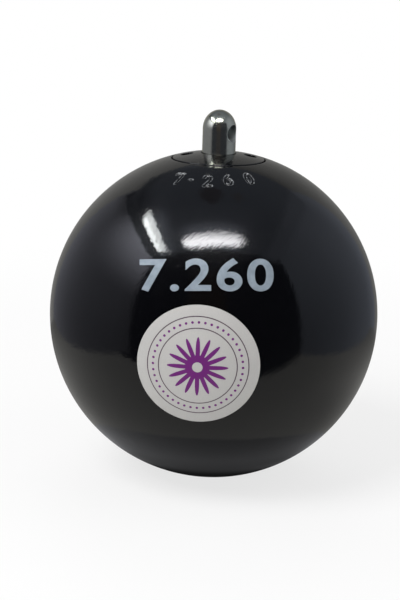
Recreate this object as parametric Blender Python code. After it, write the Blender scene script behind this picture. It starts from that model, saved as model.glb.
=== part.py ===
"""The head of a throwing hammer: a turned steel ball with a ball-bearing swivel for the wire.

Metres, +Z up. The head stands at the origin on the small flat under its ball.
The wire's eye in the spindle runs along X, and the label faces FRONT.
The wire pulls on the spindle, whose nut bears on the thrust bearing, the bearing on the
screwed-in cover, and the cover's thread on the ball.
"""

import math

import bmesh
import bpy
from mathutils import Matrix, Vector

# Fits
CLEARANCE = 0.0003
LABEL_CLEARANCE = 0.0002
WASHER_CLEARANCE = 0.0006  # between a bearing washer and the piece that turns past its rim
POCKET_CLEARANCE = 0.00025
THREAD_TRUNCATION = 0.00015

# Ball
BALL_DIAMETER = 0.120
FLAT_DIAMETER = 0.014
FRONT = math.radians(-61)

# Spindle, whose rounded end stands out of the cover
SPINDLE_DIAMETER = 0.012
SPINDLE_PROTRUSION = 0.0151
DOME_HEIGHT = 0.0068
EYE_DIAMETER = 0.006
EYE_HEIGHT = 0.007
SPINDLE_THREAD_PITCH = 0.00175
SPINDLE_THREAD_DEPTH = 0.0009
THREAD_OVERRUN = 0.002
TAIL_SHOULDER = 0.001
TAIL_CHAMFER = 0.0008

# Thrust bearing
BEARING_BALL_DIAMETER = 0.00476
BEARING_BALL_COUNT = 10
RACE_SHOULDER = 0.00162  # from the balls to either rim of the bearing
RACE_THICKNESS = 0.0035
GROOVE_DEPTH = 0.00068
CAGE_THICKNESS = 0.002
CAGE_RIM = 0.0008

# Cover, screwed into the ball and flush with it
COVER_SHOULDER = 0.0025  # the cover is this much wider than the bearing, all round
COVER_THICKNESS = 0.014
COVER_RIM = 0.0025
COVER_PILOT = 0.0015
COVER_LIP = 0.0016
COVER_THREAD_PITCH = 0.002
COVER_THREAD_DEPTH = 0.00095
RELIEF_WIDTH = 0.0014
RELIEF_DEPTH = 0.0003
SPANNER_HOLE_DIAMETER = 0.0045
SPANNER_HOLE_WEB = 0.0007  # left between a spanner hole and the bush's bore
SPANNER_HOLE_DEPTH = 0.005

# Bush in the cover
BUSH_WALL = 0.0018
BUSH_FLANGE_WIDTH = 0.0017
BUSH_FLANGE_THICKNESS = 0.0015

# Nut, its washer and its split pin
NUT_WASHER_MARGIN = 0.002
NUT_WASHER_THICKNESS = 0.0018
NUT_WALL = 0.00365  # from the thread to the middle of a flat
NUT_HEIGHT = 0.011
NUT_SLOT_DEPTH = 0.004
SPLIT_PIN_WIRE = 0.001
SPLIT_PIN_EYE_RADIUS = 0.0012
SPLIT_PIN_UPPER_LEG = 0.005
SPLIT_PIN_LOWER_LEG = 0.0025

# Ballast, held down by a threaded plug
BALLAST_DIAMETER = 0.014
BALLAST_LENGTH = 0.026
PLUG_THICKNESS = 0.004
PLUG_THREAD_PITCH = 0.0015
PLUG_THREAD_DEPTH = 0.00075
PLUG_SLOT_WIDTH = 0.0016
PLUG_SLOT_DEPTH = 0.0014

# Tail bush, over the plug in the floor of the bearing chamber
TAIL_BUSH_LEDGE = 0.00045
TAIL_BUSH_LENGTH = 0.0125
TAIL_BUSH_FLANGE_WIDTH = 0.0025
TAIL_BUSH_FLANGE_THICKNESS = 0.0017
TAIL_GAP = 0.002

# Label, a round foil bent onto the ball
LABEL_ARC_DIAMETER = 0.0422
LABEL_THICKNESS = 0.0002
LABEL_TURN = math.radians(-4.6)
LABEL_LATITUDE = math.radians(-3.2)

# Facets
BALL_SIDES = 48
RING_SIDES = 32
SMALL_SIDES = 24
POCKET_SIDES = 16
OVERCUT = 0.0002  # how far a cutter or a joined shape runs past the face it meets

# Radii, from the axis out
spindle_radius = SPINDLE_DIAMETER / 2
running_radius = spindle_radius + CLEARANCE
thread_crest = spindle_radius - THREAD_TRUNCATION
thread_root = thread_crest - SPINDLE_THREAD_DEPTH
tail_radius = thread_root - TAIL_SHOULDER
bearing_ball_radius = BEARING_BALL_DIAMETER / 2
groove_radius = bearing_ball_radius + CLEARANCE
pocket_radius = bearing_ball_radius + POCKET_CLEARANCE
pitch_radius = running_radius + RACE_SHOULDER + bearing_ball_radius
chamber_radius = pitch_radius + bearing_ball_radius + RACE_SHOULDER
race_rim_radius = chamber_radius - CLEARANCE
cover_radius = race_rim_radius + COVER_SHOULDER
cover_crest = cover_radius - THREAD_TRUNCATION
cover_root = cover_crest - COVER_THREAD_DEPTH
mouth_radius = cover_radius + CLEARANCE
bush_radius = running_radius + BUSH_WALL
bush_bore_radius = bush_radius + CLEARANCE
spanner_hole_reach = bush_bore_radius + SPANNER_HOLE_WEB + SPANNER_HOLE_DIAMETER / 2
nut_flat = thread_crest + NUT_WALL
split_pin_offset = (SPLIT_PIN_WIRE + CLEARANCE) / 2
split_pin_hole_radius = split_pin_offset + SPLIT_PIN_WIRE / 2 + CLEARANCE
ballast_bore_radius = BALLAST_DIAMETER / 2 + CLEARANCE
plug_crest = ballast_bore_radius + PLUG_THREAD_DEPTH
tail_bush_radius = plug_crest + TAIL_BUSH_LEDGE
ball_radius = BALL_DIAMETER / 2
flat_radius = FLAT_DIAMETER / 2

# Levels, from the top of the ball down
centre = math.sqrt(ball_radius**2 - flat_radius**2)
pole = centre + ball_radius
eye_level = pole + EYE_HEIGHT
rim_level = centre + math.sqrt(ball_radius**2 - cover_radius**2) - COVER_RIM
seal_radius = BUSH_WALL / 2
lip_level = pole - COVER_LIP
seal_level = lip_level - CLEARANCE - seal_radius
bush_top = seal_level - seal_radius - CLEARANCE
cover_underside = pole - COVER_THICKNESS
bush_bottom = cover_underside + CLEARANCE
race_top = cover_underside - CLEARANCE
half_race_gap = groove_radius - GROOVE_DEPTH
ball_level = race_top - RACE_THICKNESS - half_race_gap
race_bottom = ball_level - half_race_gap - RACE_THICKNESS
nut_washer_top = race_bottom - CLEARANCE
nut_top = nut_washer_top - NUT_WASHER_THICKNESS - CLEARANCE
nut_bottom = nut_top - NUT_HEIGHT
split_pin_level = nut_bottom + NUT_SLOT_DEPTH / 2
shoulder_level = nut_bottom - THREAD_OVERRUN
tail_bush_top = shoulder_level - CLEARANCE
chamber_floor = tail_bush_top - TAIL_BUSH_FLANGE_THICKNESS - CLEARANCE
tail_bush_bottom = tail_bush_top - TAIL_BUSH_LENGTH
tail_end = tail_bush_bottom + TAIL_GAP
tail_bush_seat = tail_bush_bottom - CLEARANCE
plug_top = tail_bush_seat - CLEARANCE
plug_bottom = plug_top - PLUG_THICKNESS
ballast_top = plug_bottom - CLEARANCE
ballast_bottom = ballast_top - BALLAST_LENGTH


def clear_scene():
    """Removes whatever the scene holds, and keeps the file that this script runs from."""
    for obj in list(bpy.data.objects):
        bpy.data.objects.remove(obj)


def make_material(name, colour, roughness, metallic):
    """A Principled material; colour is linear red, green and blue."""
    material = bpy.data.materials.new(name)
    material.use_nodes = True
    shader = material.node_tree.nodes["Principled BSDF"]
    shader.inputs["Base Color"].default_value = (*colour, 1.0)
    shader.inputs["Roughness"].default_value = roughness
    shader.inputs["Metallic"].default_value = metallic
    material.diffuse_color = (*colour, 1.0)
    return material


def add_object(name, data, material=None, parent=None):
    """Links an object that holds this mesh or curve."""
    obj = bpy.data.objects.new(name, data)
    bpy.context.scene.collection.objects.link(obj)
    if material:
        data.materials.append(material)
    obj.parent = parent
    return obj


def mesh_from(bm, name):
    """Orients and smooths a bmesh, and turns it into a mesh."""
    bmesh.ops.remove_doubles(bm, verts=bm.verts, dist=1e-6)
    bmesh.ops.recalc_face_normals(bm, faces=bm.faces)
    mesh = bpy.data.meshes.new(name)
    bm.to_mesh(mesh)
    bm.free()
    mesh.shade_smooth()
    mesh.set_sharp_from_angle(angle=math.radians(30))
    return mesh


def combine(target, other, operation):
    """Adds a Boolean that cuts `other` from `target` or joins it on, and hides `other`."""
    other.hide_render = True
    other.display_type = "WIRE"
    modifier = target.modifiers.new(f"{operation.title()} {other.name}", "BOOLEAN")
    modifier.operation = operation
    modifier.object = other
    modifier.solver = "EXACT"


def arc(middle, radius, start, end, steps):
    """Outline points on an arc about `middle`; both angles are measured up from the horizontal."""
    angles = [start + (end - start) * step / steps for step in range(steps + 1)]
    return [
        (middle[0] + radius * math.cos(angle), middle[1] + radius * math.sin(angle))
        for angle in angles
    ]


def turned(name, outline, sides, material=None, parent=None, closed=True):
    """Revolves an outline of (radius, height) points round Z. One that isn't closed ends on Z."""
    bm = bmesh.new()
    verts = [bm.verts.new((radius, 0.0, height)) for radius, height in outline]
    pairs = list(zip(verts, verts[1:]))
    if closed:
        pairs.append((verts[-1], verts[0]))
    edges = [bm.edges.new(pair) for pair in pairs]
    bmesh.ops.spin(
        bm,
        geom=verts + edges,
        cent=(0, 0, 0),
        axis=(0, 0, 1),
        angle=2 * math.pi,
        steps=sides,
        use_merge=True,
    )
    return add_object(name, mesh_from(bm, name), material, parent)


def flanged_outline(bore, body, flange, bottom, top, step):
    """The outline of a bush whose flange lies between its bottom and `step`."""
    outline = [(bore, bottom), (flange, bottom), (flange, step)]
    outline += [(body, step), (body, top), (bore, top)]
    return outline


def tube_outline(bore, body, bottom, top):
    """The outline of a plain ring."""
    return [(bore, bottom), (body, bottom), (body, top), (bore, top)]


def threaded_rod(name, root, crest, pitch, bottom, top, sides, material=None):
    """A rod with a V thread: one turn's profile swept up a helix, with both ends squared off.

    Every helix is counted from height 0, so a rod and its tap mesh wherever each of them starts.
    """
    bm = bmesh.new()
    start = (math.floor(bottom / pitch) - 1) * pitch
    turns = math.ceil((top - start) / pitch) + 1
    profile = [(root, start), (crest, start + pitch / 2), (root, start + pitch)]
    verts = [bm.verts.new((radius, 0.0, height)) for radius, height in profile]
    edges = [bm.edges.new(pair) for pair in zip(verts, verts[1:])]
    bmesh.ops.spin(
        bm,
        geom=verts + edges,
        cent=(0, 0, 0),
        axis=(0, 0, 1),
        dvec=(0, 0, pitch / sides),
        angle=2 * math.pi * turns,
        steps=sides * turns,
    )
    bmesh.ops.remove_doubles(bm, verts=bm.verts, dist=1e-5)
    for level, above in ((bottom, False), (top, True)):
        bmesh.ops.bisect_plane(
            bm,
            geom=bm.verts[:] + bm.edges[:] + bm.faces[:],
            plane_co=(0, 0, level),
            plane_no=(0, 0, 1),
            clear_outer=above,
            clear_inner=not above,
        )
    rims = [edge for edge in bm.edges if edge.is_boundary]
    bmesh.ops.holes_fill(bm, edges=rims, sides=0)
    return add_object(name, mesh_from(bm, name), material)


def block(name, size, location, turn=0.0):
    """A box, turned about its own vertical axis."""
    bm = bmesh.new()
    bmesh.ops.create_cube(bm, size=1.0, matrix=Matrix.Diagonal((*size, 1.0)))
    obj = add_object(name, mesh_from(bm, name))
    obj.location = location
    obj.rotation_euler.z = turn
    return obj


def prism(name, radius, length, location, sides, material=None, parent=None):
    """A rod with this many sides, upright unless it is turned later."""
    bm = bmesh.new()
    bmesh.ops.create_cone(
        bm, cap_ends=True, segments=sides, radius1=radius, radius2=radius, depth=length
    )
    obj = add_object(name, mesh_from(bm, name), material, parent)
    obj.location = location
    return obj


def cross_drill(name, target, radius, level):
    """Drills a round hole right through the spindle, along X."""
    hole = prism(name, radius, 2 * SPINDLE_DIAMETER, (0, 0, level), SMALL_SIDES)
    hole.rotation_euler.y = math.pi / 2
    combine(target, hole, "DIFFERENCE")


def add_ball(material):
    """The steel ball, with its threaded mouth, bearing chamber, bush bore and ballast bore."""
    mouth_angle = math.acos(mouth_radius / ball_radius)
    flat_angle = -math.acos(flat_radius / ball_radius)
    middle = (0.0, centre)
    rows = BALL_SIDES // 4
    wall = cover_root + CLEARANCE - OVERCUT
    mouth_step = rim_level - CLEARANCE
    shoulder = cover_underside - CLEARANCE
    relief_radius = cover_crest + CLEARANCE + RELIEF_DEPTH
    relief_top = shoulder + RELIEF_WIDTH
    bush_bore = tail_bush_radius + CLEARANCE
    outline = [(0.0, 0.0)]
    outline += arc(middle, ball_radius, flat_angle, 0.0, rows)
    outline += arc(middle, ball_radius, 0.0, mouth_angle, rows - 1)[1:]
    outline += [(mouth_radius, mouth_step), (wall, mouth_step), (wall, relief_top)]
    outline += [(relief_radius, relief_top), (relief_radius, shoulder)]
    outline += [(chamber_radius, shoulder), (chamber_radius, chamber_floor)]
    outline += [(bush_bore, chamber_floor), (bush_bore, tail_bush_seat)]
    outline += [(ballast_bore_radius, tail_bush_seat)]
    outline += [(ballast_bore_radius, ballast_bottom - CLEARANCE)]
    outline += [(0.0, ballast_bottom - CLEARANCE)]
    ball = turned("steel_ball", outline, BALL_SIDES, material, closed=False)
    mouth_tap = threaded_rod(
        "mouth_tap",
        cover_root + CLEARANCE,
        cover_crest + CLEARANCE,
        COVER_THREAD_PITCH,
        shoulder + RELIEF_WIDTH / 2,
        rim_level,
        RING_SIDES,
    )
    plug_tap = threaded_rod(
        "plug_tap",
        ballast_bore_radius + CLEARANCE,
        plug_crest + CLEARANCE,
        PLUG_THREAD_PITCH,
        plug_bottom - CLEARANCE,
        tail_bush_seat + OVERCUT,
        SMALL_SIDES,
    )
    combine(ball, mouth_tap, "DIFFERENCE")
    combine(ball, plug_tap, "DIFFERENCE")


def add_cover(material):
    """The threaded cover: domed flush with the ball, with two holes for a pin spanner."""
    core = cover_root - OVERCUT
    edge_angle = math.acos(cover_radius / ball_radius)
    outline = [(0.0, cover_underside), (core, cover_underside), (core, rim_level)]
    outline += [(cover_radius, rim_level)]
    outline += arc((0.0, centre), ball_radius, edge_angle, math.pi / 2, 4)
    cover = turned("bearing_cover", outline, BALL_SIDES, material, closed=False)
    thread = threaded_rod(
        "cover_thread",
        cover_root,
        cover_crest,
        COVER_THREAD_PITCH,
        cover_underside + COVER_PILOT,
        rim_level + OVERCUT,
        RING_SIDES,
    )
    combine(cover, thread, "UNION")
    counterbore = bush_radius + BUSH_FLANGE_WIDTH + CLEARANCE
    flange_top = bush_bottom + BUSH_FLANGE_THICKNESS + CLEARANCE
    outline = [(0.0, cover_underside - OVERCUT), (counterbore, cover_underside - OVERCUT)]
    outline += [(counterbore, flange_top), (bush_bore_radius, flange_top)]
    outline += [(bush_bore_radius, lip_level), (running_radius, lip_level)]
    outline += [(running_radius, pole + OVERCUT), (0.0, pole + OVERCUT)]
    bore = turned("cover_bore", outline, SMALL_SIDES, closed=False)
    combine(cover, bore, "DIFFERENCE")
    surface = centre + math.sqrt(ball_radius**2 - spanner_hole_reach**2)
    for number, side in enumerate((-1, 1), start=1):
        angle = FRONT + side * math.pi / 2
        hole = prism(
            f"spanner_hole_{number}",
            SPANNER_HOLE_DIAMETER / 2,
            2 * SPANNER_HOLE_DEPTH,
            (spanner_hole_reach * math.cos(angle), spanner_hole_reach * math.sin(angle), surface),
            SMALL_SIDES,
        )
        combine(cover, hole, "DIFFERENCE")


def add_seal(material):
    """The rubber ring above the bush, which keeps dust out of it."""
    middle = (running_radius + seal_radius, seal_level)
    outline = arc(middle, seal_radius, 0.0, 2 * math.pi, 8)[:-1]
    turned("dust_seal", outline, SMALL_SIDES, material)


def add_cover_bush(material):
    """The flanged bush that guides the spindle inside the cover."""
    flange = bush_radius + BUSH_FLANGE_WIDTH
    step = bush_bottom + BUSH_FLANGE_THICKNESS
    outline = flanged_outline(running_radius, bush_radius, flange, bush_bottom, bush_top, step)
    turned("cover_bush", outline, SMALL_SIDES, material)


def add_spindle(material, axis):
    """The spindle: rounded end with the wire's eye, plain shank, threaded part and tail."""
    dome_base = pole + SPINDLE_PROTRUSION - DOME_HEIGHT
    stretch = DOME_HEIGHT / spindle_radius
    dome = [
        (radius, dome_base + height * stretch)
        for radius, height in arc((0.0, 0.0), spindle_radius, 0.0, math.pi / 2, 7)
    ]
    core = thread_root - OVERCUT
    outline = [(0.0, tail_end), (tail_radius - TAIL_CHAMFER, tail_end)]
    outline += [(tail_radius, tail_end + TAIL_CHAMFER), (tail_radius, shoulder_level)]
    outline += [(core, shoulder_level), (core, nut_washer_top)]
    outline += [(spindle_radius, nut_washer_top), *dome]
    spindle = turned("spindle", outline, SMALL_SIDES, material, axis, closed=False)
    thread = threaded_rod(
        "spindle_thread",
        thread_root,
        thread_crest,
        SPINDLE_THREAD_PITCH,
        nut_bottom - THREAD_OVERRUN / 2,
        nut_washer_top + OVERCUT,
        SMALL_SIDES,
    )
    combine(spindle, thread, "UNION")
    cross_drill("wire_eye", spindle, EYE_DIAMETER / 2, eye_level)
    cross_drill("split_pin_hole", spindle, split_pin_hole_radius, split_pin_level)


def add_race(name, bore, rim, side, material, parent=None):
    """A grooved washer of the bearing, above the balls (side 1) or below them (side -1)."""
    inner_face = ball_level + side * half_race_gap
    outer_face = inner_face + side * RACE_THICKNESS
    half_angle = math.acos(half_race_gap / groove_radius)
    middle = (pitch_radius, ball_level)
    bottom = side * math.pi / 2
    outline = [(bore, outer_face), (bore, inner_face)]
    outline += arc(middle, groove_radius, bottom + side * half_angle, bottom - side * half_angle, 4)
    outline += [(rim, inner_face), (rim, outer_face)]
    turned(name, outline, RING_SIDES, material, parent)


def bearing_seat(number):
    """The angle round Z and the position of one ball of the bearing."""
    angle = 2 * math.pi * number / BEARING_BALL_COUNT
    return angle, (pitch_radius * math.cos(angle), pitch_radius * math.sin(angle), ball_level)


def add_cage(material, axis):
    """The flat ring that spaces the balls, with a round pocket for each."""
    reach = pocket_radius + CAGE_RIM
    half = CAGE_THICKNESS / 2
    inner = pitch_radius - reach
    outline = tube_outline(inner, pitch_radius + reach, ball_level - half, ball_level + half)
    cage = turned("ball_cage", outline, RING_SIDES, material, axis)
    for number in range(BEARING_BALL_COUNT):
        seat = bearing_seat(number)[1]
        name = f"pocket_{number + 1:02d}"
        pocket = prism(name, pocket_radius, 2 * CAGE_THICKNESS, seat, POCKET_SIDES)
        combine(cage, pocket, "DIFFERENCE")


def add_bearing_balls(material, axis):
    """The balls, each with its origin at its middle and its X axis along the line it rolls about."""
    bm = bmesh.new()
    bmesh.ops.create_uvsphere(bm, u_segments=12, v_segments=8, radius=bearing_ball_radius)
    mesh = mesh_from(bm, "bearing_ball")
    mesh.materials.append(material)
    for number in range(BEARING_BALL_COUNT):
        ball = add_object(f"bearing_ball_{number + 1:02d}", mesh, parent=axis)
        ball.rotation_euler.z, ball.location = bearing_seat(number)


def add_nut_washer(material, axis):
    """The hard washer between the bearing and the nut."""
    rim = nut_flat + NUT_WASHER_MARGIN
    bottom = nut_washer_top - NUT_WASHER_THICKNESS
    outline = tube_outline(running_radius, rim, bottom, nut_washer_top)
    turned("nut_washer", outline, SMALL_SIDES, material, axis)


def add_nut(material, axis):
    """The castle nut, with its slots down and through the middles of its flats."""
    corner = nut_flat / math.cos(math.pi / 6)
    middle = (0, 0, (nut_top + nut_bottom) / 2)
    nut = prism("castle_nut", corner, NUT_HEIGHT, middle, 6, material, axis)
    tap = threaded_rod(
        "nut_tap",
        thread_root + CLEARANCE,
        thread_crest + CLEARANCE,
        SPINDLE_THREAD_PITCH,
        nut_bottom - OVERCUT,
        nut_top + OVERCUT,
        SMALL_SIDES,
    )
    combine(nut, tap, "DIFFERENCE")
    slot_size = (4 * nut_flat, 2 * split_pin_hole_radius, 2 * NUT_SLOT_DEPTH)
    for number in range(3):
        name = f"nut_slot_{number + 1}"
        slot = block(name, slot_size, (0, 0, nut_bottom), number * math.pi / 3)
        combine(nut, slot, "DIFFERENCE")


def add_split_pin(material, axis):
    """The split pin: one wire folded into an eye, its two legs bent apart outside the nut."""
    half = split_pin_offset
    stand_off = SPLIT_PIN_WIRE / 2 + CLEARANCE
    eye_x = nut_flat + stand_off + SPLIT_PIN_EYE_RADIUS
    bend_x = -nut_flat - stand_off
    bend = SPLIT_PIN_WIRE
    open_angle = math.pi - math.asin(half / SPLIT_PIN_EYE_RADIUS)
    eye = arc((eye_x, 0.0), SPLIT_PIN_EYE_RADIUS, open_angle, -open_angle, 10)
    points = [(bend_x, half, SPLIT_PIN_UPPER_LEG), (bend_x, half, bend)]
    points += [(bend_x + bend, half, 0.0), (0.0, half, 0.0)]
    points += [(x, y, 0.0) for x, y in eye]
    points += [(0.0, -half, 0.0), (bend_x + bend, -half, 0.0)]
    points += [(bend_x, -half, -bend), (bend_x, -half, -SPLIT_PIN_LOWER_LEG)]
    curve = bpy.data.curves.new("split_pin", "CURVE")
    curve.dimensions = "3D"
    curve.bevel_depth = SPLIT_PIN_WIRE / 2
    curve.bevel_resolution = 1
    curve.use_fill_caps = True
    spline = curve.splines.new("POLY")
    spline.points.add(len(points) - 1)
    for point, (x, y, z) in zip(spline.points, points):
        point.co = (x, y, z, 1.0)
    pin = add_object("split_pin", curve, material, axis)
    pin.location.z = split_pin_level


def add_tail_bush(material):
    """The flanged bush that steadies the spindle's tail, and carries it when the wire is slack."""
    bore = tail_radius + CLEARANCE
    flange = tail_bush_radius + TAIL_BUSH_FLANGE_WIDTH
    step = tail_bush_top - TAIL_BUSH_FLANGE_THICKNESS
    # The flange is on top here, so the outline runs from there.
    outline = flanged_outline(
        bore, tail_bush_radius, flange, tail_bush_top, tail_bush_bottom, step
    )
    turned("tail_bush", outline, SMALL_SIDES, material)


def add_ballast_slug(material):
    """The slug in the bottom bore, whose length trims the head's weight."""
    radius = BALLAST_DIAMETER / 2
    outline = [(0.0, ballast_bottom), (radius, ballast_bottom)]
    outline += [(radius, ballast_top), (0.0, ballast_top)]
    turned("ballast_slug", outline, SMALL_SIDES, material, closed=False)


def add_ballast_plug(material):
    """The slotted plug that locks the slug in its bore."""
    plug = threaded_rod(
        "ballast_plug",
        ballast_bore_radius,
        plug_crest,
        PLUG_THREAD_PITCH,
        plug_bottom,
        plug_top,
        SMALL_SIDES,
        material,
    )
    slot_size = (4 * plug_crest, PLUG_SLOT_WIDTH, 2 * PLUG_SLOT_DEPTH)
    slot = block("plug_slot", slot_size, (0, 0, plug_top))
    combine(plug, slot, "DIFFERENCE")


def add_label(material):
    """The round foil label, a thin cap on the ball, turned towards the front."""
    half_angle = LABEL_ARC_DIAMETER / BALL_DIAMETER
    inner = ball_radius + LABEL_CLEARANCE
    edge = math.pi / 2 - half_angle
    outline = arc((0.0, 0.0), inner, math.pi / 2, edge, 4)
    outline += arc((0.0, 0.0), inner + LABEL_THICKNESS, edge, math.pi / 2, 4)
    label = turned("round_label", outline, RING_SIDES, material, closed=False)
    turn = FRONT + LABEL_TURN
    facing = Vector((math.cos(turn), math.sin(turn), math.tan(LABEL_LATITUDE)))
    label.rotation_mode = "QUATERNION"
    label.rotation_quaternion = facing.to_track_quat("Z", "Y")
    label.location = (0.0, 0.0, centre)


def main():
    clear_scene()
    enamel = make_material("black_enamel", (0.008, 0.008, 0.009), 0.12, 0.0)
    bright_steel = make_material("bright_steel", (0.55, 0.55, 0.56), 0.18, 1.0)
    bearing_steel = make_material("bearing_steel", (0.60, 0.60, 0.61), 0.10, 1.0)
    plated_steel = make_material("plated_steel", (0.50, 0.50, 0.48), 0.35, 1.0)
    bronze = make_material("bronze", (0.45, 0.27, 0.10), 0.35, 1.0)
    rubber = make_material("nitrile_rubber", (0.015, 0.015, 0.016), 0.6, 0.0)
    lead = make_material("cast_lead", (0.12, 0.12, 0.13), 0.55, 1.0)
    foil = make_material("label_foil", (0.56, 0.56, 0.53), 0.45, 0.3)

    swivel_axis = add_object("swivel_axis", None)
    cage_axis = add_object("cage_axis", None)

    add_ball(enamel)
    add_label(foil)
    add_cover(enamel)
    add_seal(rubber)
    add_cover_bush(bronze)
    housing_bore = running_radius + WASHER_CLEARANCE
    add_race("housing_washer", housing_bore, race_rim_radius, 1, bearing_steel)
    add_tail_bush(bronze)
    add_ballast_slug(lead)
    add_ballast_plug(plated_steel)

    add_cage(bronze, cage_axis)
    add_bearing_balls(bearing_steel, cage_axis)

    add_spindle(bright_steel, swivel_axis)
    shaft_rim = race_rim_radius - WASHER_CLEARANCE
    add_race("shaft_washer", running_radius, shaft_rim, -1, bearing_steel, swivel_axis)
    add_nut_washer(plated_steel, swivel_axis)
    add_nut(plated_steel, swivel_axis)
    add_split_pin(plated_steel, swivel_axis)


main()
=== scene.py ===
# %% [markdown]
# # The head of a throwing hammer
# A steel ball, enamelled black, with a swivel in its top: a bright spindle with an eye for the
# wire turns in a thrust bearing under a screwed-in cover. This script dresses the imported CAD
# model. Each piece that shows is modelled again in fine mesh, exactly where its solid stands,
# and each gets its real finish. Every size is read from the frame, or is a real one in metres.

# %% Load the frame
import math

import bmesh
import bpy
from mathutils import Matrix, Vector


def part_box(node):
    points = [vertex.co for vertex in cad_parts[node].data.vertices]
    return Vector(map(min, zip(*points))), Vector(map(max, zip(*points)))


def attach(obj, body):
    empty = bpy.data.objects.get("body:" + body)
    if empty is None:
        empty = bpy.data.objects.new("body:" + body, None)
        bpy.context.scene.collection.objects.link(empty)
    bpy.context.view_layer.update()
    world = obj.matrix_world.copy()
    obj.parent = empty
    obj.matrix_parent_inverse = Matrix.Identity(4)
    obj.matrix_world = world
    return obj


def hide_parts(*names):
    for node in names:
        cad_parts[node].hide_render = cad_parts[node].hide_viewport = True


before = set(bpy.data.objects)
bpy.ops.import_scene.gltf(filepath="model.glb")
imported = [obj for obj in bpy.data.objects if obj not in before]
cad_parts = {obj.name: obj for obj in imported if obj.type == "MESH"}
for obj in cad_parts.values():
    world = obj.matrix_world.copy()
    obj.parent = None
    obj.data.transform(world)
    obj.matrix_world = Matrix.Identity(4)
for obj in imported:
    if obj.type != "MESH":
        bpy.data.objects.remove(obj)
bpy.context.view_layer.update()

# %% [markdown]
# ## What the frame says
# A node's box gives its radius and its levels, because every turned piece stands on the Z
# axis. The ball stands on a small flat, its foot. The foot's ring is the widest at height 0,
# and with the ball's radius it gives the height of the ball's middle.

# %% Measure the solids
CLEARANCE = 0.0003  # the gap between touching pieces in the CAD model
FRONT = math.radians(-61)  # the side that faces the viewer, as an angle round Z
EXACT = 1e-6  # two lengths this near are the same


def reach(name):
    """The radius of a turned node."""
    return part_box(name)[1].x


def top(name):
    """The height of a node's top."""
    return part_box(name)[1].z


def bottom(name):
    """The height of a node's underside."""
    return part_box(name)[0].z


ball_radius = reach("steel_ball")
foot_radius = max(
    vert.co.to_2d().length
    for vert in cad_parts["steel_ball"].data.vertices
    if vert.co.z < EXACT
)
centre = math.sqrt(ball_radius**2 - foot_radius**2)
middle = Vector((0, 0, centre))
pole = centre + ball_radius
spindle_radius = reach("spindle")
running_radius = spindle_radius + CLEARANCE
cover_radius = reach("bearing_cover")
mouth_radius = cover_radius + CLEARANCE
print("ball", ball_radius, "foot", round(foot_radius, 4), "middle", round(centre, 5))
print("spindle", spindle_radius, "cover", cover_radius, "apex", round(top("spindle"), 5))

# %% [markdown]
# ## Turning
# Nearly every piece comes off a lathe, and is made the same way here: spin sweeps its section,
# one outline of radii and heights, round the axis. A Boolean of cylinders would leave long
# thin triangles that shade badly. A spun piece is a clean grid, fine where its outline or its
# span of the turn is, so threads and figures can be shaped in it.

# %% Outlines
def arc(about, radius, start, end, steps):
    """Outline points on an arc, with its angles measured up from the horizontal."""
    angles = [start + (end - start) * step / steps for step in range(steps + 1)]
    return [
        (about[0] + radius * math.cos(angle), about[1] + radius * math.sin(angle))
        for angle in angles
    ]


def spaced(start, end, spacing):
    """Values from start to end about this far apart, without the first."""
    count = max(1, round(abs(end - start) / spacing))
    return [start + (end - start) * step / count for step in range(1, count + 1)]


def wall(radius, start, end, spacing):
    """Outline points along a straight wall between two levels, without the first."""
    return [(radius, level) for level in spaced(start, end, spacing)]


def on_sphere(start, end, spacing):
    """Outline points up the ball's surface between two latitudes, without the first."""
    return [
        (ball_radius * math.cos(latitude), centre + ball_radius * math.sin(latitude))
        for latitude in spaced(start, end, spacing / ball_radius)
    ]


def sphere_height(radius, below=0):
    """The height of the ball's surface this far from the axis, or of one just below it."""
    return centre + math.sqrt((ball_radius - below) ** 2 - radius**2)


def rounded_edge(radius, rounding):
    """The middle of an arc that touches the dome from below, and the latitude where it does."""
    level = sphere_height(radius, below=rounding)
    return (radius, level), math.atan2(level - centre, radius)


# %% Spin
WHOLE_TURN = 2 * math.pi


def turned(outline, spans, start=0, closed=False):
    """A bmesh spun from an outline, in spans of (angle, steps), with its seam merged."""
    bm = bmesh.new()
    across = Vector((math.cos(start), math.sin(start), 0))
    verts = [bm.verts.new(across * radius + Vector((0, 0, height))) for radius, height in outline]
    pairs = list(zip(verts, verts[1:]))
    if closed:
        pairs.append((verts[-1], verts[0]))
    last = verts + [bm.edges.new(pair) for pair in pairs]
    for angle, steps in spans:
        full = angle == WHOLE_TURN
        last = bmesh.ops.spin(
            bm, geom=last, cent=(0, 0, 0), axis=(0, 0, 1), angle=angle, steps=steps, use_merge=full
        )["geom_last"]
    bmesh.ops.remove_doubles(bm, verts=bm.verts, dist=2 * EXACT)
    return bm


def new_object(name, data):
    """An object with this data, linked to the scene."""
    thing = bpy.data.objects.new(name, data)
    bpy.context.scene.collection.objects.link(thing)
    return thing


def new_piece(bm, name):
    """Makes a bmesh an object."""
    mesh = bpy.data.meshes.new(name)
    bm.to_mesh(mesh)
    bm.free()
    return new_object(name, mesh)


def finish_mesh(bm, name, sharp_angle=35):
    """Turns a bmesh into a smooth-shaded piece with its faces pointing out."""
    bmesh.ops.recalc_face_normals(bm, faces=bm.faces)
    triangles = sum(len(face.verts) - 2 for face in bm.faces)
    open_edges = sum(not edge.is_manifold for edge in bm.edges)
    print(f"{name}: {triangles} triangles, {open_edges} open edges")
    piece = new_piece(bm, name)
    piece.data.shade_smooth()
    piece.data.set_sharp_from_angle(angle=math.radians(sharp_angle))
    return piece


# %% Threads
ROWS_PER_PITCH = 8


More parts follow.
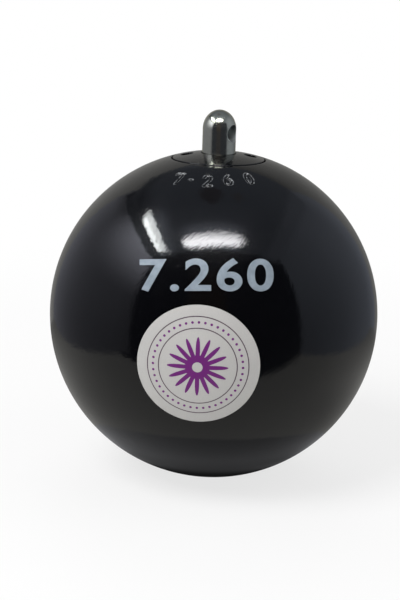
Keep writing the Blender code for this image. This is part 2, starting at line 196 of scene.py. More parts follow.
def cut_thread(bm, radius, low, high, pitch, depth):
    """Moves a plain wall out into a right-hand thread whose ends run out gently.

    As in the CAD model, every thread is counted from height 0, so a screw and its nut mesh.
    """
    for vert in bm.verts:
        if low < vert.co.z < high and abs(vert.co.to_2d().length - radius) < EXACT:
            turn = math.atan2(vert.co.y, vert.co.x) / WHOLE_TURN
            crest = 0.5 - 0.5 * math.cos(WHOLE_TURN * (vert.co.z / pitch - turn))
            run_out = min(1, (vert.co.z - low) / pitch, (high - vert.co.z) / pitch)
            vert.co.xy *= 1 + depth * crest * run_out / radius


# %% [markdown]
# ## The ball
# The ball is bored for its bearing and enamelled last, so its edges are soft under the coat.
# One outline runs up the outside and down through the threaded mouth, the bearing chamber and
# the ballast bore, which makes it a true hollow solid. Where figures will be struck, its cells
# are a sixth of a millimetre across.

# %% Levels of the bore
SEAM_ROUNDING = 0.00026  # the soft edge that the enamel has along the seam
SEAM_WIDENING = 0.0002  # the mouth is eased this much, which leaves a dark line
COVER_RIM = 0.0025
COVER_THREAD = (0.002, 0.00095)  # every thread is given as its pitch and depth
PLUG_THREAD = (0.0015, 0.00075)
THREAD_TRUNCATION = 0.00015
TAIL_FLANGE_WIDTH = 0.0025
TAIL_FLANGE_THICKNESS = 0.0017
RELIEF_HEIGHT = 0.0014

rim_level = sphere_height(cover_radius) - COVER_RIM
mouth_step = rim_level - CLEARANCE
shoulder = bottom("bearing_cover") - CLEARANCE
cover_root = cover_radius - THREAD_TRUNCATION - COVER_THREAD[1]
tap_root = cover_root + CLEARANCE
relief_top = shoulder + RELIEF_HEIGHT
relief_radius = cover_radius - THREAD_TRUNCATION + 2 * CLEARANCE
chamber_radius = reach("housing_washer") + CLEARANCE
bush_bore_radius = reach("tail_bush") - TAIL_FLANGE_WIDTH + CLEARANCE
bush_seat = bottom("tail_bush") - CLEARANCE
chamber_floor = top("tail_bush") - TAIL_FLANGE_THICKNESS - CLEARANCE
ballast_bore = reach("ballast_slug") + CLEARANCE
plug_seat = bottom("ballast_plug") - CLEARANCE
bore_end = bottom("ballast_slug") - CLEARANCE
print("chamber", round(1000 * (shoulder - chamber_floor), 1), "mm deep")

# %% Outline of the ball
COARSE_ROW = 0.0017
FINE_ROW = 0.00017
FIGURES_LOW = math.radians(59)
FIGURES_HIGH = math.radians(70)
EDGE_STEPS = 4

foot_latitude = -math.acos(foot_radius / ball_radius)
seam_radius = mouth_radius + SEAM_WIDENING
edge, edge_latitude = rounded_edge(seam_radius + SEAM_ROUNDING, SEAM_ROUNDING)

outline = [(0, 0), (foot_radius, 0)]
outline += on_sphere(foot_latitude, FIGURES_LOW, COARSE_ROW)
outline += on_sphere(FIGURES_LOW, FIGURES_HIGH, FINE_ROW)
outline += on_sphere(FIGURES_HIGH, edge_latitude, 3 * FINE_ROW)
outline += arc(edge, SEAM_ROUNDING, edge_latitude, math.pi, EDGE_STEPS)[1:]
outline += [(seam_radius, mouth_step), (tap_root, mouth_step)]
thread_row = COVER_THREAD[0] / ROWS_PER_PITCH
outline += wall(tap_root, mouth_step, relief_top, thread_row)
outline += [(relief_radius, relief_top), (relief_radius, shoulder)]
outline += [(chamber_radius, shoulder), (chamber_radius, chamber_floor)]
outline += [(bush_bore_radius, chamber_floor), (bush_bore_radius, bush_seat)]
plug_tap = ballast_bore + CLEARANCE
plug_row = PLUG_THREAD[0] / ROWS_PER_PITCH
outline += [(plug_tap, bush_seat)]
outline += wall(plug_tap, bush_seat, plug_seat, plug_row)
outline += [(ballast_bore, plug_seat), (ballast_bore, bore_end), (0, bore_end)]
print("ball's outline:", len(outline), "points")

# %% Turn the ball
FIGURES_START = FRONT - math.radians(38)
FIGURES_SPAN = math.radians(70)
FINE_STEPS = 190
COARSE_STEPS = 150

ball_bm = turned(
    outline,
    [(FIGURES_SPAN, FINE_STEPS), (WHOLE_TURN - FIGURES_SPAN, COARSE_STEPS)],
    start=FIGURES_START,
)
cut_thread(ball_bm, tap_root, relief_top, mouth_step, *COVER_THREAD)
cut_thread(ball_bm, plug_tap, plug_seat, bush_seat, *PLUG_THREAD)
print("ball:", len(ball_bm.verts), "vertices")

# %% [markdown]
# ## Figures struck into the ball
# The weight, 7.260 kg, is struck with steel punches, one blow for each figure, and no two sit
# quite level. A blow leaves a groove with a raised lip beside it. The grooves are real
# geometry: a vertex sinks by how near it lies to a figure's strokes. Handling rubs the lips
# thin, and how far is stored at each vertex as "wear", for the enamel's material to read. The
# enamel paints the rubbed lips pale there: partly worn steel, and partly a painted glint.
#
# Each figure is drawn 1 high, as strokes through a few points.

# %% Strokes of the figures
FIGURE_HEIGHT = 0.0060
FIGURE_NARROWING = 0.7
STROKES = {
    "7": [[(-0.31, 0.38), (-0.31, 0.5), (0.28, 0.5), (0, -0.5)]],
    "2": [
        arc((0, 0.22), 0.28, math.radians(165), math.radians(-38), 9)
        + [(-0.3, -0.5), (0.33, -0.5)]
    ],
    "6": [
        arc((0, -0.22), 0.28, 0, WHOLE_TURN, 16),
        arc((0.36, -0.18), 0.645, math.radians(183), math.radians(112), 6),
    ],
    "0": [[(0.27 * x, 0.5 * y) for x, y in arc((0, 0), 1, 0, WHOLE_TURN, 18)]],
    ".": [[(-0.1, 0), (0.1, 0)]],
}

# One blow each: the figure, its angle from the front and from the pole, and its lean, in degrees
BLOWS = [
    ("7", -30.8, 26.5, 8),
    (".", -20.4, 26.4, 0),
    ("2", -7.7, 26.2, 6),
    ("6", 7.8, 25.2, 3),
    ("0", 25.2, 24.8, -5),
]

# %% Strike them
GROOVE_DEPTH = 0.00036
GROOVE_WIDTH = 0.00043  # from the groove's middle to the top of its slope
LIP_HEIGHT = 0.00007
LIP_PLACE = 1.4  # these four in groove widths
LIP_WIDTH = 0.35
# the rubbed band on each lip, painted pale: worn steel and a painted glint
RUB_AND_GLINT_PLACE = 1.2
RUB_AND_GLINT_WIDTH = 0.28
SURFACE_TOLERANCE = 1e-5


def stroke_distance(point, strokes):
    """How far a flat point lies from the nearest stroke."""
    nearest = 1.0
    for stroke in strokes:
        for start, end in zip(stroke, stroke[1:]):
            start = Vector(start)
            along = Vector(end) - start
            share = (point - start).dot(along) / along.length_squared
            share = min(1, max(0, share))
            nearest = min(nearest, (point - start - along * share).length)
    return nearest


def bell(distance, place, width):
    """A bell curve, up to 1, over the distance from the middle of a stroke."""
    return math.exp(-(((distance / GROOVE_WIDTH - place) / width) ** 2))


def groove(distance):
    """How the surface rises or sinks this far from the middle of a stroke."""
    share = distance / GROOVE_WIDTH
    if share < 1.0:
        return -GROOVE_DEPTH * (1.0 - share**2) ** 1.5
    return LIP_HEIGHT * bell(distance, LIP_PLACE, LIP_WIDTH)


def strike(bm, figure, angle, tilt, lean):
    """Sinks one figure into the ball."""
    wear_and_glint = bm.verts.layers.float["wear_and_glint"]
    stand = (
        Matrix.Rotation(FRONT + math.radians(angle), 4, "Z")
        @ Matrix.Rotation(math.radians(tilt), 4, "Y")
        @ Matrix.Rotation(math.radians(90 + lean), 4, "Z")
    )
    to_figure = stand.inverted()
    strokes = [[(FIGURE_NARROWING * x, y) for x, y in stroke] for stroke in STROKES[figure]]
    size = 0.5 * FIGURE_HEIGHT + 3 * GROOVE_WIDTH
    for vert in bm.verts:
        out = vert.co - middle
        if abs(out.length - ball_radius) > SURFACE_TOLERANCE:
            continue
        local = to_figure @ out
        if local.z > 0 and abs(local.x) < size and abs(local.y) < size:
            distance = stroke_distance(local.xy / FIGURE_HEIGHT, strokes) * FIGURE_HEIGHT
            vert.co += out.normalized() * groove(distance)
            # how far a lip is rubbed, which the enamel paints pale: worn steel and a painted glint
            vert[wear_and_glint] = bell(distance, RUB_AND_GLINT_PLACE, RUB_AND_GLINT_WIDTH)


ball_bm.verts.layers.float.new("wear_and_glint")
for blow in BLOWS:
    strike(ball_bm, *blow)
ball = finish_mesh(ball_bm, "enamelled_ball")

# %% [markdown]
# ## The cover
# The cover is a threaded disc, domed flush with the ball it closes, with a pin-spanner hole on
# either side. Its outline is a closed loop round the section of the ring, so it comes out as
# one solid.

# %% Turn the cover
COVER_STEPS = 240
DOME_ROW = 0.0003
COVER_PILOT = 0.0015
BORE_ROUNDING = 0.0003
BUSH_WALL = 0.0018
BUSH_FLANGE_THICKNESS = 0.0015
SEAL_LIP = 0.0016  # how thick the cover is over the seal
bush_bore = running_radius + BUSH_WALL + CLEARANCE
counterbore = reach("cover_bush") + CLEARANCE
lip_level = pole - SEAL_LIP
underside = bottom("bearing_cover")
pilot_top = underside + COVER_PILOT
flange_top = bottom("cover_bush") + BUSH_FLANGE_THICKNESS + CLEARANCE
rim, rim_latitude = rounded_edge(cover_radius - SEAM_ROUNDING, SEAM_ROUNDING)
bore, bore_latitude = rounded_edge(running_radius + BORE_ROUNDING, BORE_ROUNDING)

outline = [(cover_root, underside), (cover_root, pilot_top)]
outline += wall(cover_root, pilot_top, rim_level, thread_row)
outline += [(cover_radius, rim_level)]
outline += arc(rim, SEAM_ROUNDING, 0, rim_latitude, EDGE_STEPS)
outline += on_sphere(rim_latitude, bore_latitude, DOME_ROW)
outline += arc(bore, BORE_ROUNDING, bore_latitude, math.pi, EDGE_STEPS)[1:]
outline += [(running_radius, lip_level), (bush_bore, lip_level), (bush_bore, flange_top)]
outline += [(counterbore, flange_top), (counterbore, underside)]
cover_bm = turned(outline, [(WHOLE_TURN, COVER_STEPS)], closed=True)
cut_thread(cover_bm, cover_root, pilot_top, rim_level, *COVER_THREAD)

# %% [markdown]
# ## Spanner holes
# Each hole is opened by hand: the faces over it are deleted, the ragged rim is carried to a
# circle, and that goes round the corner and down to the floor. Its rounded edge catches the
# light, which a plain Boolean cut would not.

# %% Carry a rim
def corner(clear, rounding, steps):
    """The steps round a hole's corner, as distances from its axis and depths."""
    turns = [math.pi / 2 * step / steps for step in range(steps + 1)]
    return [(clear - rounding * math.sin(turn), rounding * (1 - math.cos(turn))) for turn in turns]


def carry_loop(bm, edges, place):
    """Extrudes a loop and moves each new vertex to place(its position). Returns the new loop."""
    made = bmesh.ops.extrude_edge_only(bm, edges=edges)["geom"]
    verts = {item for item in made if isinstance(item, bmesh.types.BMVert)}
    for vert in verts:
        vert.co = place(vert.co)
    return [
        item
        for item in made
        if isinstance(item, bmesh.types.BMEdge) and all(vert in verts for vert in item.verts)
    ]


# %% Open the holes
SPANNER_HOLE_RADIUS = 0.00225
SPANNER_HOLE_DEPTH = 0.005
SPANNER_HOLE_WALL = 0.0007  # between the hole and the cover's bore
HOLE_ROUNDING = 0.00025
spanner_hole_reach = bush_bore + SPANNER_HOLE_WALL + SPANNER_HOLE_RADIUS


def on_dome(co, hole, distance, sink):
    """A point this far from a hole's axis and this deep under the dome."""
    flat = hole + (co.xy - hole).normalized() * distance
    return Vector((flat.x, flat.y, sphere_height(flat.length) - sink))


def open_hole(bm, hole):
    """Deletes the dome's faces over a hole and carries its rim down into the hole."""
    clear = SPANNER_HOLE_RADIUS + HOLE_ROUNDING
    faces = [
        face
        for face in bm.faces
        if face.calc_center_median().z > rim_level
        and (face.calc_center_median().xy - hole).length < clear + DOME_ROW
    ]
    bmesh.ops.delete(bm, geom=faces, context="FACES")
    loop = [edge for edge in bm.edges if edge.is_boundary]
    for distance, sink in corner(clear, HOLE_ROUNDING, EDGE_STEPS):
        loop = carry_loop(bm, loop, lambda co: on_dome(co, hole, distance, sink))
    floor_level = sphere_height(hole.length) - SPANNER_HOLE_DEPTH
    loop = carry_loop(bm, loop, lambda co: Vector((co.x, co.y, floor_level)))
    bmesh.ops.holes_fill(bm, edges=loop, sides=0)


for side in (-1, 1):
    turn = FRONT + side * math.pi / 2
    open_hole(cover_bm, spanner_hole_reach * Vector((math.cos(turn), math.sin(turn))))
cover = finish_mesh(cover_bm, "enamelled_cover")

# %% [markdown]
# ## The spindle
# A bright steel bar: a rounded end with a drilled eye for the wire, a plain shank, a thread
# for the castle nut, and a thinner tail. Rows lie close together where the eye will be, so
# the steel round it stays smooth.

# %% Turn the spindle
SPINDLE_STEPS = 160
DOME_HEIGHT = 0.0068
SPINDLE_THREAD = (0.00175, 0.0009)
THREAD_OVERRUN = 0.002
TAIL_SHOULDER = 0.001
TAIL_CHAMFER = 0.0008
SHANK_ROW = 0.0004
THREAD_CHAMFER = 0.00015
DOME_STEPS = 28
SHANK_DEPTH = 0.002  # how far the fine rows go down into the cover
dome_base = top("spindle") - DOME_HEIGHT
thread_end = top("nut_washer")
shoulder_level = bottom("castle_nut") - THREAD_OVERRUN
thread_root = spindle_radius - THREAD_TRUNCATION - SPINDLE_THREAD[1]
tail_radius = thread_root - TAIL_SHOULDER
tail_end = bottom("spindle")
shank_foot = pole - SHANK_DEPTH

outline = [(0, tail_end), (tail_radius - TAIL_CHAMFER, tail_end)]
outline += [(tail_radius, tail_end + TAIL_CHAMFER), (tail_radius, shoulder_level)]
outline += [(thread_root, shoulder_level)]
spindle_row = SPINDLE_THREAD[0] / ROWS_PER_PITCH
outline += wall(thread_root, shoulder_level, thread_end, spindle_row)
outline += [(spindle_radius - THREAD_CHAMFER, thread_end)]
outline += [(spindle_radius, thread_end + THREAD_CHAMFER), (spindle_radius, shank_foot)]
outline += wall(spindle_radius, shank_foot, dome_base, SHANK_ROW)
outline += [
    (spindle_radius * x, dome_base + DOME_HEIGHT * y)
    for x, y in arc((0, 0), 1, 0, math.pi / 2, DOME_STEPS)[1:]
]
spindle_bm = turned(outline, [(WHOLE_TURN, SPINDLE_STEPS)])
cut_thread(spindle_bm, thread_root, shoulder_level, thread_end, *SPINDLE_THREAD)

# %% [markdown]
# ## Cross holes
# The eye is drilled across and its mouths are rounded, so that they don't nick the wire. A
# small hole for the split pin crosses the thread. For both, the faces over each mouth are
# deleted, the rims are carried to the hole's circle, and the mouths are bridged through the
# bar. A drill leaves its hole dull, which is stored as "bore" for the steel's material. There
# the steel is rougher, and its colour is also painted darker, as shade inside the eye.

# %% Open a mouth
def round_hole(co, hole_level, distance):
    """A point moved in its own plane X to this distance from a cross hole's axis."""
    out = Vector((co.y, co.z - hole_level)).normalized() * distance
    return Vector((co.x, out.x, hole_level + out.y))


def open_mouth(bm, side, hole_level, clear):
    """Deletes the faces over one mouth of a cross hole and returns the rim that is left."""
    faces = []
    for face in bm.faces:
        spot = face.calc_center_median()
        if side * spot.x > 0 and Vector((spot.y, spot.z - hole_level)).length < clear:
            faces.append(face)
    bmesh.ops.delete(bm, geom=faces, context="FACES")
    return [edge for edge in bm.edges if edge.is_boundary and side * edge.verts[0].co.x > 0]


# %% Drill the eye
EYE_RADIUS = 0.003
EYE_HEIGHT = 0.007
EYE_ROUNDING = 0.00035
EYE_STEPS = 6
MOUTH_MARGIN = 0.6 * SHANK_ROW
eye_level = pole + EYE_HEIGHT
eye_clear = EYE_RADIUS + EYE_ROUNDING


def on_spindle(co, distance, sink):
    """A point this far from the eye's axis and this deep under the spindle's surface."""
    spot = round_hole(co, eye_level, distance)
    rise = max(0, spot.z - dome_base) * spindle_radius / DOME_HEIGHT
    out = math.sqrt(spindle_radius**2 - spot.y**2 - rise**2) - sink
    return Vector((math.copysign(out, co.x), spot.y, spot.z))


mouths = []
for side in (1, -1):
    loop = open_mouth(spindle_bm, side, eye_level, eye_clear + MOUTH_MARGIN)
    for distance, sink in corner(eye_clear, EYE_ROUNDING, EYE_STEPS):
        loop = carry_loop(spindle_bm, loop, lambda co: on_spindle(co, distance, sink))
    mouths += loop
bmesh.ops.bridge_loops(spindle_bm, edges=mouths)

# how far inside the eye a vertex lies: the steel there is rougher, and painted darker as shade in
# the hole
dull_and_shaded = spindle_bm.verts.layers.float.new("bore")
for vert in spindle_bm.verts:
    inside = eye_clear - Vector((vert.co.y, vert.co.z - eye_level)).length
    vert[dull_and_shaded] = min(1, max(0, inside / EYE_ROUNDING))

# %% Drill the pin hole
PIN_HOLE_RADIUS = 0.00095
PIN_HEIGHT = 0.002  # over the nut's underside
PIN_MARGIN = 0.0002
pin_level = bottom("castle_nut") + PIN_HEIGHT

mouths = []
for side in (1, -1):
    loop = open_mouth(spindle_bm, side, pin_level, PIN_HOLE_RADIUS + PIN_MARGIN)
    mouths += carry_loop(spindle_bm, loop, lambda co: round_hole(co, pin_level, PIN_HOLE_RADIUS))
bmesh.ops.bridge_loops(spindle_bm, edges=mouths)
spindle = finish_mesh(spindle_bm, "bright_spindle")

# %% [markdown]
# ## The label
# A round label of silver-grey foil, stuck on the front and bent to the ball. It is turned as a
# thin cap about its own axis, and then set to face forwards. Its print is in its material.

# %% Foil disc
LABEL_ARC_DIAMETER = 0.0422
LABEL_GAP = 0.00003
LABEL_THICKNESS = 0.00014
LABEL_TURN = math.radians(-4.6)
LABEL_LATITUDE = math.radians(-3.2)
LABEL_STEPS = 180
LABEL_ROWS = 24
label_edge = math.pi / 2 - LABEL_ARC_DIAMETER / 2 / ball_radius
label_inner = ball_radius + LABEL_GAP
label_turn = FRONT + LABEL_TURN
facing = Vector((math.cos(label_turn), math.sin(label_turn), math.tan(LABEL_LATITUDE)))
label_rotation = facing.to_track_quat("Z", "Y").to_matrix().to_4x4()

outline = arc((0, 0), label_inner, math.pi / 2, label_edge, LABEL_ROWS)
outline += arc((0, 0), label_inner + LABEL_THICKNESS, label_edge, math.pi / 2, LABEL_ROWS)
label_bm = turned(outline, [(WHOLE_TURN, LABEL_STEPS)])
bmesh.ops.transform(
    label_bm, matrix=Matrix.Translation(middle) @ label_rotation, verts=label_bm.verts
)
label = finish_mesh(label_bm, "foil_label")

# %% [markdown]
# ## Painted figures
# The weight is also printed across the front in pale blue-grey, with a soft pad. The flat text,
# in Blender's own font, is made a mesh, sliced into narrow cells so that it can bend, and
# pressed straight on to the ball, as the pad does.

# %% Flat figures
PRINT_TEXT = "7.260"
PRINT_WIDTH = 0.0450
PRINT_HEIGHT = 0.0112
PRINT_OFFSET = Vector((-0.0028, 0.0127))  # from the ball's middle, as the viewer sees it
PRINT_TILT = math.radians(14.45)  # how far upwards the pad's way points
PRINT_LEAN = math.radians(1.8)
INK_THICKNESS = 0.00004
SLICE = 0.0008
PRINT_WEIGHT = 0.02
PRINT_SPACING = 1.12
CURVE_STEPS = 8
GLYPH_MERGE = 1e-5  # in the font's own units

text = bpy.data.curves.new("figures", "FONT")
text.body = PRINT_TEXT
text.offset = PRINT_WEIGHT
text.space_character = PRINT_SPACING
text.resolution_u = CURVE_STEPS
text_object = bpy.data.objects.new("figures", text)
print_bm = bmesh.new()
print_bm.from_mesh(bpy.data.meshes.new_from_object(text_object))
bpy.data.objects.remove(text_object)
bmesh.ops.remove_doubles(print_bm, verts=print_bm.verts, dist=GLYPH_MERGE)
xs = [vert.co.x for vert in print_bm.verts]
ys = [vert.co.y for vert in print_bm.verts]
fit = Vector((PRINT_WIDTH / (max(xs) - min(xs)), PRINT_HEIGHT / (max(ys) - min(ys)), 1))
shift = Vector((-(max(xs) + min(xs)) / 2, -(max(ys) + min(ys)) / 2, 0))
bmesh.ops.translate(print_bm, vec=shift, verts=print_bm.verts)
bmesh.ops.scale(print_bm, vec=fit, verts=print_bm.verts)
for axis, extent in ((Vector((1, 0, 0)), PRINT_WIDTH), (Vector((0, 1, 0)), PRINT_HEIGHT)):
    for place in spaced(-extent / 2, extent / 2, SLICE)[:-1]:
        bmesh.ops.bisect_plane(
            print_bm,
            geom=print_bm.verts[:] + print_bm.edges[:] + print_bm.faces[:],
            plane_co=axis * place,
            plane_no=axis,
        )
print("figures sliced into", len(print_bm.faces), "cells")

# %% Press them on to the ball
pad = Matrix.Rotation(FRONT, 3, "Z") @ Matrix.Rotation(-PRINT_TILT, 3, "Y")
pad_out, pad_right, pad_up = pad.col[0], pad.col[1], pad.col[2]
lean = Matrix.Rotation(PRINT_LEAN, 2)
ink_radius = ball_radius + INK_THICKNESS
for vert in print_bm.verts:
    flat = lean @ vert.co.xy + PRINT_OFFSET
    out = math.sqrt(ink_radius**2 - flat.length_squared)
    vert.co = middle + pad_right * flat.x + pad_up * flat.y + pad_out * out
bmesh.ops.recalc_face_normals(print_bm, faces=print_bm.faces)
bmesh.ops.solidify(print_bm, geom=print_bm.faces[:], thickness=INK_THICKNESS)
painted = finish_mesh(print_bm, "painted_figures")
for piece in (label, painted):
    radii = [(vert.co - middle).length for vert in piece.data.vertices]
    print(piece.name, "stands", [round(1e6 * (r - ball_radius)) for r in (min(radii), max(radii))])

# %% [markdown]
# ## Materials
# Colours are written in sRGB hex, and one function turns them into the linear values that
# Blender mixes. A second adds a node with its settings, values and links, so that each material
# reads as a short recipe. It puts "ShaderNode" before the kind.

# %% Colour and node helpers
def colour(code):
    """A linear RGBA from an sRGB hex code."""
    channels = [int(code[start : start + 2], 16) / 255 for start in (1, 3, 5)]
    linear = [c / 12.92 if c <= 0.04045 else ((c + 0.055) / 1.055) ** 2.4 for c in channels]
    return (*linear, 1)


def node_adder(tree):
    """A function that adds a node to this tree, with its settings and its links."""

    def add(kind, inputs=None, **settings):
        """An input is a value, a hex code, a socket, or a node whose first output is used.

        A tuple of inputs fills the first sockets.
        """
        if isinstance(inputs, tuple):
            inputs = dict(enumerate(inputs))
        node = tree.nodes.new("ShaderNode" + kind)
        for name, value in settings.items():
            setattr(node, name, value)
        for socket, value in (inputs or {}).items():
            if isinstance(value, str):
                value = colour(value)
            if isinstance(value, bpy.types.Node):
                value = value.outputs[0]
            if isinstance(value, bpy.types.NodeSocket):
                tree.links.new(value, node.inputs[socket])
            else:
                node.inputs[socket].default_value = value
        return node

    return add


def new_material(name):
    """An empty material, what adds a node to it, and its object coordinates."""
    material = bpy.data.materials.new(name)
    material.use_nodes = True
    material.node_tree.nodes.clear()
    add = node_adder(material.node_tree)
    return material, add, add("TexCoord").outputs["Object"]


# %% [markdown]
# ## Black enamel
# Stoved black gloss. The colour is almost nothing: what the eye sees is its clear gloss. It
# ripples as a sprayed coat does, and rubbing has left a mesh of hair scratches, which make the
# edges of a mirrored lamp ragged. They are as coarse as they need to be to show. A weak, broad
# second gloss gives lamps their thin haze, uneven where hands have smudged it. On the rubbed
# lips of the figures the colour turns pale: partly the steel showing through, and partly a
# painted glint, as if the lips caught a lamp from every side. A few nibs of dust lie under the
# coat.

# %% Stoved enamel
PEEL_SIZE = 0.0016
PEEL_HEIGHT = 0.000007
HAIR_WIDTH = 0.00045
HAIR_LENGTH = 0.0017
HAIR_HEIGHT = 0.000028
HAIR_TURN = math.radians(29)
HAIR_LAYERS = ((44, 1), (64, 0.35))  # lean in degrees and share of the height
NIB_SPACING = 0.0045
NIB_SIZE = 0.045  # of the spacing
NIB_HEIGHT = 0.00006
SMUDGE_SIZE = 0.006
CHIP_SIZE = 0.0011

enamel, add, place = new_material("stoved_gloss_enamel")
peel = add("TexNoise", {"Vector": place, "Scale": 1 / PEEL_SIZE, "Detail": 1})
height = add("Math", (peel, PEEL_HEIGHT), operation="MULTIPLY")
for lean, share in HAIR_LAYERS:
    laid = add(
        "Mapping",
        {
            "Vector": place,
            "Rotation": (0, math.radians(lean), HAIR_TURN),
            "Scale": (HAIR_WIDTH, HAIR_LENGTH, HAIR_LENGTH),
        },
        vector_type="TEXTURE",
    )
    hairs = add("TexNoise", {"Vector": laid, "Scale": 1, "Detail": 1})
    height = add("Math", (hairs, share * HAIR_HEIGHT, height), operation="MULTIPLY_ADD")
ripple = add("Bump", {"Height": height, "Distance": 1})
nibs = add("TexVoronoi", {"Vector": place, "Scale": 1 / NIB_SPACING})
dust = add(
    "MapRange",
    {"Value": nibs.outputs["Distance"], "From Max": NIB_SIZE, "To Min": 1, "To Max": 0},
    interpolation_type="SMOOTHSTEP",
)
gloss = add("Bump", {"Height": dust, "Distance": NIB_HEIGHT, "Normal": ripple})
# pale steel on the rubbed lips: worn enamel and a painted glint
wear_and_glint = add("Attribute", attribute_name="wear_and_glint").outputs["Fac"]
chips = add("TexNoise", {"Vector": place, "Scale": 1 / CHIP_SIZE})
bare_and_glint = add("MapRange", {"Value": chips, "From Min": 0.38, "From Max": 0.62})
bare_and_glint = add("Math", (bare_and_glint, wear_and_glint), operation="MULTIPLY")
shade = add("Mix", {0: bare_and_glint, 6: "#020203", 7: "#84878a"}, data_type="RGBA")
smudges = add("TexNoise", {"Vector": place, "Scale": 1 / SMUDGE_SIZE, "Detail": 3})
rough = add("MapRange", {"Value": smudges, "To Min": 0.2, "To Max": 0.42})
shader = add(
    "BsdfPrincipled",
    {
        "Base Color": shade.outputs[2],
        "Roughness": rough,
        "Specular IOR Level": 0.05,
        "IOR": 1.5,
        "Coat Weight": 1,
        "Coat Roughness": 0.04,
        "Coat IOR": 1.5,
        "Normal": gloss,
        "Coat Normal": gloss,
    },
)
add("OutputMaterial", {"Surface": shader})

# %% [markdown]
# ## Metals
# What tells one bare metal from another is the colour of its reflection, how dull it is, and
# the marks of the tool that made it, so one recipe serves them all. The spindle is polished
# bar, and the bearing is hard steel, ground fine. The nut, its washer, the pin and the plug are
# plated with zinc, which is greyer and bluer. The bushes are bronze, and the slug is cast lead.

# %% Metal recipe
ALONG = 0.008  # how long a turned mark runs before it changes


def metal(name, codes, roughness, patch_size, marks, bore=None):
    """A metal from two colours, two roughnesses, and the sizes of its patches and marks.

    Marks are given as their size round the axis, along it, and in height. A bore is the
    colour and roughness of the hole that the mesh has stored; the darker colour there is
    painted shade inside the hole.
    """
    mark_round, mark_along, mark_height = marks
    material, add, place = new_material(name)
    patches = add("TexNoise", {"Vector": place, "Scale": 1 / patch_size, "Detail": 3})
    shade = add("Mix", {0: patches, 6: codes[0], 7: codes[1]}, data_type="RGBA")
    rough = add("MapRange", {"Value": patches, "To Min": roughness[0], "To Max": roughness[1]})
    if bore:
        # inside a bore the steel is rougher, and its colour is painted darker as shade
        drilled_and_shaded = add("Attribute", attribute_name="bore").outputs["Fac"]
        shade = add("Mix", {0: drilled_and_shaded, 6: shade.outputs[2], 7: bore[0]}, data_type="RGBA")
        rough = add("MapRange", {"Value": drilled_and_shaded, "To Min": rough, "To Max": bore[1]})
    laid = add(
        "Mapping",
        {"Vector": place, "Scale": (mark_round, mark_round, mark_along)},
        vector_type="TEXTURE",
    )
    grooves = add("TexNoise", {"Vector": laid, "Scale": 1, "Detail": 2})
    bump = add("Bump", {"Height": grooves, "Distance": mark_height})
    shader = add(
        "BsdfPrincipled",
        {"Base Color": shade.outputs[2], "Metallic": 1, "Roughness": rough, "Normal": bump},
    )
    add("OutputMaterial", {"Surface": shader})
    return material


# %% Metals of the head
steel = metal(
    "polished_steel",
    ("#cccdbe", "#b9baac"),
    (0.12, 0.24),
    0.0011,
    (0.0006, 0.0016, 2e-5),
    # the eye's bore: rougher steel, painted darker as shade in the hole
    bore=("#a9adab", 0.6),
)
finishes = {
    "bearing_steel": metal(
        "ground_bearing_steel", ("#b9bbbd", "#a9abae"), (0.1, 0.22), 0.002, (ALONG, 0.00015, 8e-7)
    ),
    "plated_steel": metal(
        "zinc_plated_steel", ("#c3c8cb", "#aab0b3"), (0.24, 0.42), 0.0012, (0.0003, 0.0003, 2e-6)
    ),
    "bronze": metal(
        "turned_bronze", ("#c09a5e", "#a07c46"), (0.22, 0.4), 0.003, (ALONG, 0.0002, 3e-6)
    ),
    "cast_lead": metal(
        "cast_lead", ("#8a8d92", "#6c6f75"), (0.48, 0.7), 0.004, (0.0012, 0.0012, 4e-5)
    ),
}

# %% [markdown]
# ## Moulded rubber
# The dust seal is nitrile rubber from a lightly blasted mould: a soft black with a very fine,
# even grain.

# %% Nitrile rubber
RUBBER_GRAIN = 0.00025
RUBBER_GRAIN_HEIGHT = 0.00002
rubber, add, place = new_material("moulded_nitrile_rubber")
grain = add("TexNoise", {"Vector": place, "Scale": 1 / RUBBER_GRAIN, "Detail": 2})
shade = add("Mix", {0: grain, 6: "#161617", 7: "#232324"}, data_type="RGBA")
bump = add("Bump", {"Height": grain, "Distance": RUBBER_GRAIN_HEIGHT})
shader = add("BsdfPrincipled", {"Base Color": shade.outputs[2], "Roughness": 0.58, "Normal": bump})
add("OutputMaterial", {"Surface": shader})
finishes["nitrile_rubber"] = rubber

# %% [markdown]
# ## Foil label
# Satin silver-grey polyester foil, printed with two thin rings, a sunburst and a ring of dots.
# A Mapping node lays flat coordinates on the label, 0 in its middle and 1 at its edge, so
# every part of the pattern is a plain sum of radius and angle.

# %% Foil and its print
RINGS = (0.825, 0.64)
RING_WIDTH = 0.0085
BURST_POINTS = 16
BURST_CORE = 0.2
BURST_RADIUS = 0.5
HUB_RADIUS = 0.085
DOTS = 44
DOT_RING = 0.7325
DOT_RADIUS = 0.021
FLATTENING = 1000

foil, add, place = new_material("satin_printed_foil")
flat_radius = ball_radius * math.sin(LABEL_ARC_DIAMETER / 2 / ball_radius)
laid = add(
    "Mapping",
    {
        "Vector": place,
        "Location": middle,
        "Rotation": label_rotation.to_euler(),
        "Scale": (flat_radius, flat_radius, FLATTENING),
    },
    vector_type="TEXTURE",
)
radius = add("VectorMath", (laid,), operation="LENGTH").outputs["Value"]
split = add("SeparateXYZ", (laid,))
angle = add("Math", (split.outputs["X"], split.outputs["Y"]), operation="ARCTAN2")

# %% Rings
lines = 0
for ring in RINGS:
    near = add("Math", (radius, ring, RING_WIDTH), operation="COMPARE")
    lines = add("Math", (near, lines), operation="MAXIMUM")

